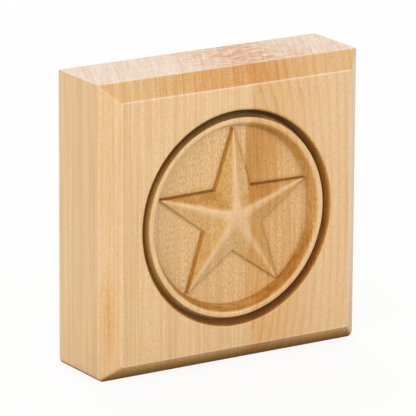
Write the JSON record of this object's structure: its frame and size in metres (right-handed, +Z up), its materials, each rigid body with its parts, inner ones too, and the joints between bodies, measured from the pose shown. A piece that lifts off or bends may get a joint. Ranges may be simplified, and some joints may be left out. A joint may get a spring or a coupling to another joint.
{
  "type": "corner rosette block",
  "caption": "Square wooden trim block with a chamfered front, a turned groove and bead ring, and a raised carved star. It joins casings at a corner.",
  "frame": {"origin": "middle of the bottom edge, half way through the thickness", "axes": "Z up along the grain; X to the right as seen from the front; the carved face looks to -Y and the back lies flat at +Y"},
  "size_m": [0.1142, 0.0348, 0.1143],
  "materials": {
    "maple": "sanded hard maple under a clear satin lacquer"
  },
  "bodies": {
    "root": {"rosette_block": "maple"}
  },
  "joints": []
}
